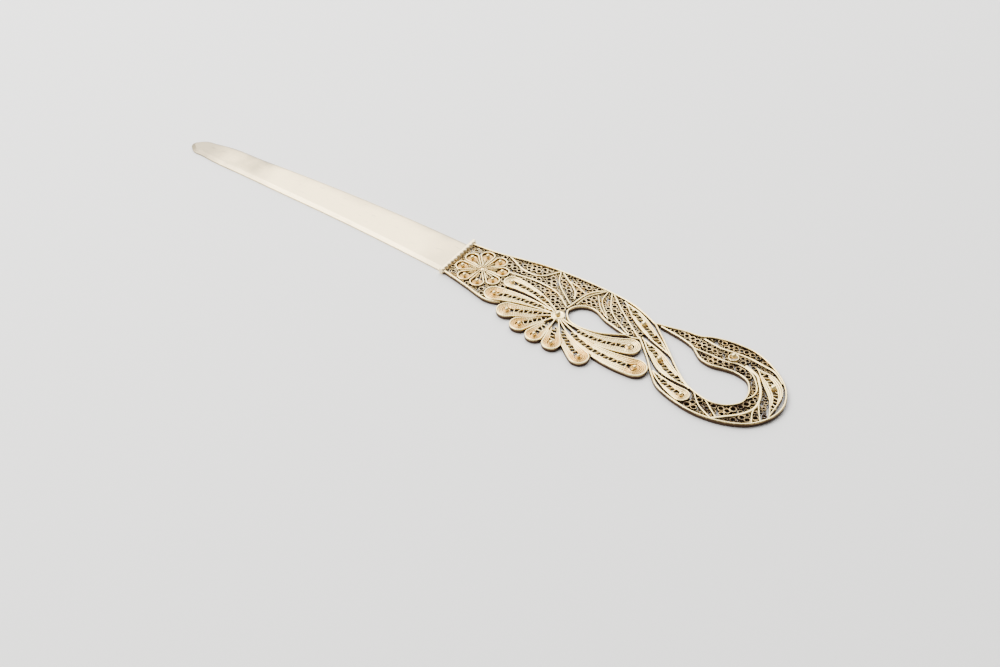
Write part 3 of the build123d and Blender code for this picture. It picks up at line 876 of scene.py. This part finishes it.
def coil_tree(name):
    """Flat coils of wire wound to a centre, one on each point, dished or domed."""
    made = Growth(name, {**section_inputs, "Turns": "Float", "Resolution": "Int", "Inner": "Float",
                         "Dish": "Float", "Half wire": "Float", "Finish": "Material"})
    half_wire = made.taken["Half wire"]
    curve = made.node("GeometryNodeCurveSpiral", sockets={
        "Resolution": made.taken["Resolution"], "Rotations": made.taken["Turns"],
        "Start Radius": made.taken["Inner"], "End Radius": 1 - half_wire, "Height": 0})
    reach = made.vector("LENGTH", made.node("GeometryNodeInputPosition"), output="Value")
    curve = made.moved(curve, made.up(reach * reach * made.taken["Dish"]))
    coil = made.swept(made.store(curve, "half_width", half_wire))
    made.finish(made.on_points(coil, Rotation=made.up(made.kept("turn"))))


def grain_tree(name, foot_top=0.25, foot_bottom=0.8):
    """Melted grains on points: a ball with a foot of solder."""
    made = Growth(name, {"Segments": "Int", "Rings": "Int", "Foot": "Float", "Finish": "Material"})
    ball = made.node("GeometryNodeMeshUVSphere", sockets={
        "Segments": made.taken["Segments"], "Rings": made.taken["Rings"], "Radius": 1})
    place = made.node("GeometryNodeInputPosition")
    flare = 1 + made.between(0 - made.parts(place)[2], foot_top, foot_bottom) * made.taken["Foot"]
    spread = made.node("ShaderNodeCombineXYZ", sockets={"X": flare, "Y": flare, "Z": 1})
    ball = made.node("GeometryNodeSetPosition", sockets={
        "Geometry": ball, "Position": made.vector("MULTIPLY", place, spread)})
    made.finish(made.on_points(ball))


tree_makers = {
    "Section along curves": sweep_tree,
    "Wires along lines": wire_tree,
    "Ladders along lines": ladder_tree,
    "Coils on points": coil_tree,
    "Grains on points": grain_tree,
}


def the_tree(name):
    """A tree by name, made the first time that it is asked for."""
    if name not in bpy.data.node_groups:
        tree_makers[name](name)
    return bpy.data.node_groups[name]


def placed(name, data):
    """A new object in the scene."""
    item = bpy.data.objects.new(name, data)
    bpy.context.scene.collection.objects.link(item)
    return item


def grown_piece(name, mesh, tree_name, inputs):
    """A plain mesh piece, grown from a mesh of lines or points by a tree with these inputs."""
    tree = the_tree(tree_name)
    source = placed(name + "_lines", mesh)
    modifier = source.modifiers.new("Grown", "NODES")
    modifier.node_group = tree
    sockets = {item.name: item for item in tree.interface.items_tree if item.in_out == "INPUT"}
    for label, value in inputs.items():
        modifier[sockets[label].identifier] = value
    depsgraph = bpy.context.evaluated_depsgraph_get()
    shape = bpy.data.meshes.new_from_object(source.evaluated_get(depsgraph), preserve_all_data_layers=True,
                                            depsgraph=depsgraph)
    bpy.data.objects.remove(source)
    if not shape.polygons:
        raise RuntimeError(f"{name} has no faces")
    shape.name = name
    return placed(name, shape)


def valued_mesh(name, places, edges, values):
    """A mesh of points and edges, given in millimetres, with named numbers on its points."""
    mesh = bpy.data.meshes.new(name)
    mesh.from_pydata([Vector(place) * mm for place in places], edges, [])
    for label, numbers in values.items():
        mesh.attributes.new(label, "FLOAT", "POINT").data.foreach_set("value", numbers)
    return mesh


def line_mesh(name, wires, tips=()):
    """A mesh of lines: at each point half a width, how near a wound tip it is and how far it is sunk.

    Wires that cross are sunk by different amounts, so that no two tops lie in one plane, and wires that go
    round a tip are sunk into a dish.
    """
    places = []
    edges = []
    values = {"half_width": [], "warm": [], "sunk": []}
    for number, (line, halves) in enumerate(wires):
        start = len(places)
        places += [place.to_3d() for place in line]
        edges += [(n, n + 1) for n in range(start, len(places) - 1)]
        for place, half in zip(line, halves):
            near = [(1 - (place - tip).length / reach, warmth) for tip, reach, warmth in tips]
            share, warmth = max(near + [(0, 0)])
            values["half_width"].append(half * mm)
            values["warm"].append(min(1, share / tip_core) * warmth)
            values["sunk"].append(tip_dish * share + level_step * (number % level_count))
    return valued_mesh(name + "_lines", places, edges, values)


def point_mesh(name, points):
    """A mesh of points: place, size, turn and warmth of each."""
    places, sizes, turns, warmths = zip(*points)
    return valued_mesh(name + "_points", places, [], {
        "size": [size * mm for size in sizes], "turn": turns, "warm": warmths})


def settle(piece, slot, *nodes):
    """A finished piece rides with the opener and stands for its nodes, which it hides. The slot is not used.
    """
    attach(piece, "root")
    if nodes:
        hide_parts(*nodes)


def section(low, high, corners, squareness, pitch=1, depth=0):
    """The inputs of a section between two heights, in millimetres, with a twist along it."""
    return {"Half height": (high - low) / 2 * mm, "Middle height": (high + low) / 2 * mm,
            "Corners": corners, "Squareness": squareness, "Twist pitch": pitch * mm, "Twist depth": depth}


def wires_piece(name, wires, finish, low, high, corners=8, squareness=0.5, step=0.3, pitch=1, depth=0,
                tips=()):
    """A piece of wires between two heights, in millimetres."""
    return grown_piece(name, line_mesh(name, wires, tips), "Wires along lines", {
        **section(low, high, corners, squareness, pitch, depth), "Step": step * mm,
        "Finish": finish_named(finish)})


def rim_and_bands(name, rims, bands, tips=()):
    """Lay the rim of a feather or leaf, which stands for its frame, and the twisted bands inside it."""
    high = top_of(name + "_frame")
    rim = wires_piece(name + "_rim", rims, "polished_strip", 0, high, corners=12, step=0.25)
    settle(rim, "frame_silver", name + "_frame")
    band = wires_piece(name + "_bands", bands, "twisted_band", band_foot, high - band_drop, squareness=0.6,
                       step=0.1, pitch=stock("twist_pitch"), tips=tips,
                       depth=bpy.context.scene.stock_sizes.twist_depth)
    settle(band, "frame_silver")


def coils_piece(name, points, finish, turns, dish, half_wire, half_height, inner, resolution, corners=8,
                squareness=0.85):
    """A piece of flat coils on points, with sizes as shares of each coil's radius."""
    return grown_piece(name, point_mesh(name, points), "Coils on points", {
        "Half height": half_height, "Middle height": 0, "Corners": corners, "Squareness": squareness,
        "Twist pitch": 1, "Twist depth": 0, "Turns": turns, "Resolution": resolution, "Inner": inner,
        "Dish": dish, "Half wire": half_wire, "Finish": finish_named(finish)})


def grains_piece(name, points, finish, segments=20, rings=12, foot=0.3):
    """A piece of grains on points."""
    return grown_piece(name, point_mesh(name, points), "Grains on points", {
        "Segments": segments, "Rings": rings, "Foot": foot, "Finish": finish_named(finish)})


def turned_piece(name, node, profile, finish, segments=48):
    """A button turned from a profile of radii and heights, on each solid of a node."""
    shape = bmesh.new()
    for middle, half in solids_of(node):
        rings = []
        for radius, height in profile:
            reach = radius * half.x
            ring = []
            for number in range(segments):
                angle = full_turn * number / segments
                ring.append(shape.verts.new(Vector((middle.x + reach * math.cos(angle),
                                                    middle.y + reach * math.sin(angle), height)) * mm))
            rings.append(ring)
        for inner, outer in zip(rings, rings[1:] + rings[:1]):
            for number in range(segments):
                after = (number + 1) % segments
                shape.faces.new((inner[number], outer[number], outer[after], inner[after]))
    for face in shape.faces:
        face.smooth = True
    bmesh.ops.recalc_face_normals(shape, faces=shape.faces)
    mesh = bpy.data.meshes.new(name)
    shape.to_mesh(mesh)
    shape.free()
    mesh.materials.append(finish_named(finish))
    return placed(name, mesh)


def openwork_silver(name):
    """Silver that is bright along the top of each wire and brown down its sides and near the floor, in
    patches: partly real polish and patina, partly a painted highlight on the tops and painted shade on the
    sides and low down.

    The head is made darker.
    """
    top, low, high, rough, warmth = openwork[name]
    made = Finish(name)
    patches = made.grain(3.2)
    specks = made.grain(0.3)
    # Darker towards the head, from 62 mm to 76 mm along X
    head_darkening = made.between(made.along_x, 62 * mm, 76 * mm)
    # Painted highlight on the tops of the wires, painted shade down their sides and below 0.55 mm, over some
    # real polish and patina
    crown = made.attribute("rise") + made.sway(specks, 0.35) + made.sway(patches, 0.7) - head_darkening * 0.15
    rubbed_and_painted_light = made.between(crown, low, high) * made.between(made.height, 0.05 * mm, 0.55 * mm)
    blush = made.between(patches, 0.45, 0.68) * warmth + made.attribute("warm") * 0.9
    crest = made.mixed(blush, getattr(made.colours, top), made.colours.peach)
    return made.set(base_color=made.mixed(rubbed_and_painted_light, made.colours.patina_and_shade, crest), metallic=0.9,
                    roughness=rough + (1 - rubbed_and_painted_light) * 0.2 + specks * 0.12,
                    normal=made.bump(specks + made.grain(0.1, 2) * 0.4, 0.02))


def peach_coil(name):
    """Wound wire of the tips, warm or pale as each point says, with painted shade down the sides of each
    turn, dark in the seams between the turns.
    """
    made = Finish(name)
    peach = made.colours.peach
    bloom = made.between(made.attribute("warm") + made.sway(made.grain(8, 2), 0.8), 0, 1)
    specks = made.grain(0.4)
    # Painted shade: the seam colour down each turn's sides, where the grooves between the turns fall in
    # shade
    crown = made.between(made.attribute("rise") + made.sway(specks, 0.5), 0.4, 1.05)
    pale = [0.25 * first + 0.75 * second for first, second in zip(peach, made.colours.polish)]
    tone = made.mixed(crown, made.colours.bloom, made.mixed(bloom, pale, peach))
    return made.set(base_color=tone, metallic=0.88, roughness=0.24 + specks * 0.16,
                    normal=made.bump(specks, 0.02))


def bright_grain(name):
    """Melted grains, the brightest silver of all."""
    made = Finish(name)
    pits = made.grain(0.5)
    tone = made.mixed(made.between(pits, 0.55, 0.8) * 0.5, made.colours.polish, made.colours.peach)
    return made.set(base_color=tone, metallic=0.8, roughness=0.14 + pits * 0.14,
                    normal=made.bump(pits, 0.02))


def satin_blade(name):
    """Sheet brushed along its length, duller and darker towards the point, the back and the root, with a few
    scuffs.
    """
    made = Finish(name)
    lines = made.grain(0.22, stretch=(0.02, 1, 1))
    clouds = made.grain(14, 4)
    scuffs = made.between(made.grain(0.9, 6, (0.25, 1, 1)), 0.6, 0.72)
    point = made.between(made.sway(clouds, 60 * mm) - made.along_x, 52 * mm, 84 * mm)
    back = made.between(made.sway(clouds, 6 * mm) + made.along_y, 1.5 * mm, 5.5 * mm)
    root = made.between(made.sway(clouds, 30 * mm) + made.along_x, -16 * mm, 0)
    # Darker towards the point, the back and the root, and in a few scuffs
    blade_darkening = point * 0.9 + back * 0.4 + root * 0.4 + scuffs * 0.25
    return made.set(base_color=made.mixed(blade_darkening, made.colours.blade, made.colours.blade_dull), metallic=0.85,
                    roughness=0.36 + lines * 0.12 + point * 0.06,
                    normal=made.bump(lines + clouds * 0.6, 0.012))


def collar_silver(name):
    """Filed bar of the collar."""
    made = Finish(name)
    filed = made.grain(0.3, stretch=(1, 0.1, 1))
    stain = made.between(made.grain(1.6, 4), 0.52, 0.75) * 0.5
    tone = made.mixed(stain, made.colours.blade, made.colours.blade_dull)
    return made.set(base_color=tone, metallic=0.88, roughness=0.3 + filed * 0.15,
                    normal=made.bump(filed, 0.03))


finish_makers = {
    **dict.fromkeys(openwork, openwork_silver),
    "peach_coil": peach_coil,
    "bright_grain": bright_grain,
    "satin_blade": satin_blade,
    "collar_silver": collar_silver,
}


def finish_named(name):
    """A finish by name, made the first time that it is asked for."""
    if name not in bpy.data.materials:
        return finish_makers[name](name)
    return bpy.data.materials[name]


class Maker(bpy.types.Operator):
    """What all the operators share."""

    bl_options = {"REGISTER", "UNDO"}


class OPENER_OT_blade(Maker):
    """Give the blade its satin finish"""

    bl_idname = "opener.blade"
    bl_label = "Blade"

    def execute(self, context):
        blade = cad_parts["blade"]
        blade.data.materials.clear()
        blade.data.materials.append(finish_named("satin_blade"))
        return {"FINISHED"}


class OPENER_OT_collar(Maker):
    """Lay the collar bar and its row of scallops"""

    bl_idname = "opener.collar"
    bl_label = "Collar"

    def execute(self, context):
        low, high = [Vector(corner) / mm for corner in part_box("collar")]
        bar_half = (high.x - low.x) * bar_share
        bar = wire([Vector((low.x + bar_half, y)) for y in (low.y, 0, high.y)], bar_half)
        piece = wires_piece("collar_bar", [bar], "collar_silver", 0, high.z, corners=16, squareness=0.45)
        settle(piece, "frame_silver", "collar")
        pitch = (high.y - low.y) / scallop_count
        size = min(pitch / 2, (high.x - low.x) / 2)
        points = [((high.x - size, low.y + (n + 0.5) * pitch, high.z - size), size, 0, 0)
                  for n in range(scallop_count)]
        scallops = grains_piece("collar_scallops", points, "collar_silver", segments=14, rings=8, foot=0.1)
        settle(scallops, "frame_silver")
        return {"FINISHED"}


class OPENER_OT_frames(Maker):
    """Lay the frame strips on edge"""

    bl_idname = "opener.frames"
    bl_label = "Frame strips"

    def execute(self, context):
        for node, lines in frame_wires().items():
            piece = wires_piece(node + "_strip", lines, "polished_strip", 0, top_of(node), corners=12,
                                squareness=0.65)
            settle(piece, "frame_silver", node)
        return {"FINISHED"}


class OPENER_OT_feathers(Maker):
    """Lay the rims and bands of the wing and of the lower neck leaf"""

    bl_idname = "opener.feathers"
    bl_label = "Feathers"

    def execute(self, context):
        tips = [(feather.dome, feather.tip * tip_reach, feathers[name].warmth)
                for name, feather in laid_feathers().items()]
        for name, (rims, bands, ladders) in feather_wires().items():
            rim_and_bands(name, rims, bands, tips)
        return {"FINISHED"}


class OPENER_OT_leaves(Maker):
    """Lay the rims and bands of the other neck leaves and of the crest leaf"""

    bl_idname = "opener.leaves"
    bl_label = "Leaves"

    def execute(self, context):
        for name, (rims, bands, middle, halves) in leaf_wires().items():
            rim_and_bands(name, rims, bands)
        return {"FINISHED"}


class OPENER_OT_ladders(Maker):
    """Bend the ladder wires into their slots"""

    bl_idname = "opener.ladders"
    bl_label = "Ladders"

    def execute(self, context):
        high = top_of("feather_1_frame") - ladder_drop
        for node, lines in ladder_lines().items():
            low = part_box(node)[0][2] / mm
            piece = grown_piece(node + "_wire", line_mesh(node, lines), "Ladders along lines", {
                **section(low, high, corners=8, squareness=0.6), "Step": 0.08 * mm,
                "Finish": finish_named("ladder_wire"), "Pitch": stock("ladder_pitch") * mm,
                "Lean": stock("ladder_lean") * mm, "Half wire": stock("ladder_wire") / 2 * mm})
            settle(piece, "filling_silver", node)
        return {"FINISHED"}


class OPENER_OT_rosette(Maker):
    """Lay the petals of the rosette"""

    bl_idname = "opener.rosette"
    bl_label = "Rosette"

    def execute(self, context):
        high = top_of("petal_frames")
        rims, inner = petal_wires()
        rim = wires_piece("petal_rims", rims, "polished_strip", 0, high, corners=12, squareness=0.4,
                          step=0.2)
        settle(rim, "frame_silver", "petal_frames")
        band = wires_piece("petal_wires", inner, "twisted_band", band_foot, high - petal_wire_drop,
                           squareness=0.6, step=0.1)
        settle(band, "frame_silver")
        return {"FINISHED"}


class OPENER_OT_coils(Maker):
    """Wind the coils of tips, petals, seats and corners"""

    bl_idname = "opener.coils"
    bl_label = "Wound coils"

    def execute(self, context):
        turns = context.scene.stock_sizes.coil_turns
        tips = {name + "_dome": plan.warmth for name, plan in feathers.items()}
        groups = {
            "feather_coils": (Feather.seat_share, turns / 2, seat_dish, tips),
            "petal_coils": (1, turns, petal_dome, {"petal_domes": seat_warmth}),
            "leaf_seat_coils": (1, turns / 2, seat_dish, {"leaf_bead_seats": seat_warmth}),
        }
        draw = random.Random(coil_seed)
        for name, (share, rounds, dish, nodes) in groups.items():
            points = []
            for node, warmth in nodes.items():
                for middle, half in solids_of(node):
                    turn = draw.uniform(0, full_turn)
                    points.append(((middle.x, middle.y, coil_level), half.x * share, turn, warmth))
            piece = coils_piece(name, points, "peach_coil", rounds, dish, inner=0.06, resolution=28,
                                half_wire=0.5 / (rounds + coil_slack), half_height=coil_half_height / share)
            settle(piece, "coil_silver", *nodes)
        points = [((middle.x, middle.y, corner_level), min(half.x, half.y), 0, 0)
                  for middle, half in solids_of("tail_corner_coils")]
        piece = coils_piece("corner_scrolls", points, "fine_filling", turns=2.2, dish=0, inner=0.2,
                            half_wire=0.075, half_height=0.2, resolution=24)
        settle(piece, "coil_silver", "tail_corner_coils")
        return {"FINISHED"}


class OPENER_OT_buttons(Maker):
    """Turn the wing boss, the heart of the rosette and the ring of the eye"""

    bl_idname = "opener.buttons"
    bl_label = "Turned buttons"

    def execute(self, context):
        for name, node, profile in (("wing_boss_button", "wing_boss", boss_profile),
                                    ("rosette_heart", "rosette_centre", heart_profile),
                                    ("eye_ring", "eye_dome", ring_profile)):
            settle(turned_piece(name, node, profile, "bright_grain"), "coil_silver", node)
        return {"FINISHED"}


class OPENER_OT_grains(Maker):
    """Set the grains on their seats, as high as the beads of the solids"""

    bl_idname = "opener.grains"
    bl_label = "Grains"

    def execute(self, context):
        for node in ("wing_beads", "petal_beads", "leaf_beads", "eye_bead"):
            share = eye_share if node == "eye_bead" else 1
            points = []
            for middle, half in solids_of(node):
                size = half.x * (share if half.x < large_bead else large_bead_share)
                points.append(((middle.x, middle.y, middle.z + half.z - size), size, 0, 0))
            settle(grains_piece(node + "_grains", points, "bright_grain"), "bead_silver", node)
        return {"FINISHED"}


class OPENER_OT_ribs(Maker):
    """Lay the ribs that part the panels"""

    bl_idname = "opener.ribs"
    bl_label = "Ribs"

    def execute(self, context):
        for node in rib_lines:
            piece = wires_piece(node + "_wires", rib_wires(node), "polished_strip", 0, top_of(node))
            settle(piece, "frame_silver", node)
        return {"FINISHED"}


class OPENER_OT_scrolls(Maker):
    """Fill the panels with small scrolls, the large ones first"""

    bl_idname = "opener.scrolls"
    bl_label = "Panel scrolls"

    def execute(self, context):
        discs = taken_discs()
        margin = stock("scroll_tuck") - scroll_lap
        for node, (share, outline) in panels.items():
            laid = []
            for part in scroll_parts:
                before = discs + [(place, radius + margin) for place, radius, turn in laid]
                laid += scroll_places(outline, before, stock("scroll_radius") * share * part)
            points = [((place.x, place.y, scroll_level), radius, turn, 0) for place, radius, turn in laid]
            piece = coils_piece(node + "_scrolls", points, "fine_filling", turns=1.15, dish=0, inner=0.7,
                                half_wire=0.115, half_height=0.54, resolution=11, corners=4, squareness=0.3)
            settle(piece, "filling_silver", node)
        return {"FINISHED"}


class OPENER_OT_stage(Maker):
    """Set the floor, the soft lights and the camera"""

    bl_idname = "opener.stage"
    bl_label = "Stage"

    def execute(self, context):
        scene = context.scene
        reach = 1.6
        floor = bpy.data.meshes.new("floor")
        corners = [(-reach, -reach, 0), (reach, -reach, 0), (reach, reach, 0), (-reach, reach, 0)]
        floor.from_pydata(corners, [], [(0, 1, 2, 3)])
        made = Finish("pale_floor")
        floor.materials.append(made.set(base_color=made.colours.floor,
                                        roughness=0.75 + made.grain(30, 2) * 0.1))
        placed("floor", floor)
        scene.world = bpy.data.worlds.new("studio")
        scene.world.use_nodes = True
        sky = scene.world.node_tree.nodes["Background"]
        sky.inputs["Color"].default_value = (1, 0.985, 0.96, 1)
        sky.inputs["Strength"].default_value = 0.3
        middle = Vector((0.02, 0, 0))
        lamps = {"key": ((-0.35, 0.55, 0.6), 1.2, 25), "side": ((-0.42, -0.14, 0.6), 0.5, 9)}
        for name, (place, size, power) in lamps.items():
            lamp = bpy.data.lights.new(name, "AREA")
            lamp.size = size
            lamp.energy = power
            holder = placed(name, lamp)
            holder.location = place
            holder.rotation_euler = (middle - Vector(place)).to_track_quat("-Z", "Y").to_euler()
        eye = bpy.data.cameras.new("camera")
        eye.sensor_width = 36
        eye.lens = 62.757
        eye.clip_start = 0.01
        scene.camera = placed("camera", eye)
        scene.camera.location = (0.20357, -0.28057, 0.27028)
        scene.camera.rotation_euler = (math.radians(49.486), 0, math.radians(34.262))
        return {"FINISHED"}


steps = ("stage", "blade", "collar", "frames", "feathers", "leaves", "ladders", "rosette", "coils",
         "buttons", "grains", "ribs", "scrolls")


class OPENER_PT_panel(bpy.types.Panel):
    """Lists the sizes, the colours and the steps"""

    bl_idname = "OPENER_PT_panel"
    bl_label = "Letter opener"
    bl_space_type = "VIEW_3D"
    bl_region_type = "UI"
    bl_category = "Letter opener"

    def draw(self, context):
        for group in (context.scene.stock_sizes, context.scene.silver_colours):
            for name in group.__annotations__:
                self.layout.prop(group, name)
        for step in steps:
            self.layout.operator(f"opener.{step}")


classes = (StockSizes, SilverColours, OPENER_OT_blade, OPENER_OT_collar, OPENER_OT_frames,
           OPENER_OT_feathers, OPENER_OT_leaves, OPENER_OT_ladders, OPENER_OT_rosette, OPENER_OT_coils,
           OPENER_OT_buttons, OPENER_OT_grains, OPENER_OT_ribs, OPENER_OT_scrolls, OPENER_OT_stage,
           OPENER_PT_panel)


def register():
    for item in classes:
        bpy.utils.register_class(item)
    bpy.types.Scene.stock_sizes = PointerProperty(type=StockSizes)
    bpy.types.Scene.silver_colours = PointerProperty(type=SilverColours)


def unregister():
    del bpy.types.Scene.silver_colours
    del bpy.types.Scene.stock_sizes
    for item in reversed(classes):
        bpy.utils.unregister_class(item)


def main():
    register()
    for step in steps:
        getattr(bpy.ops.opener, step)()


if __name__ == "__main__":
    main()
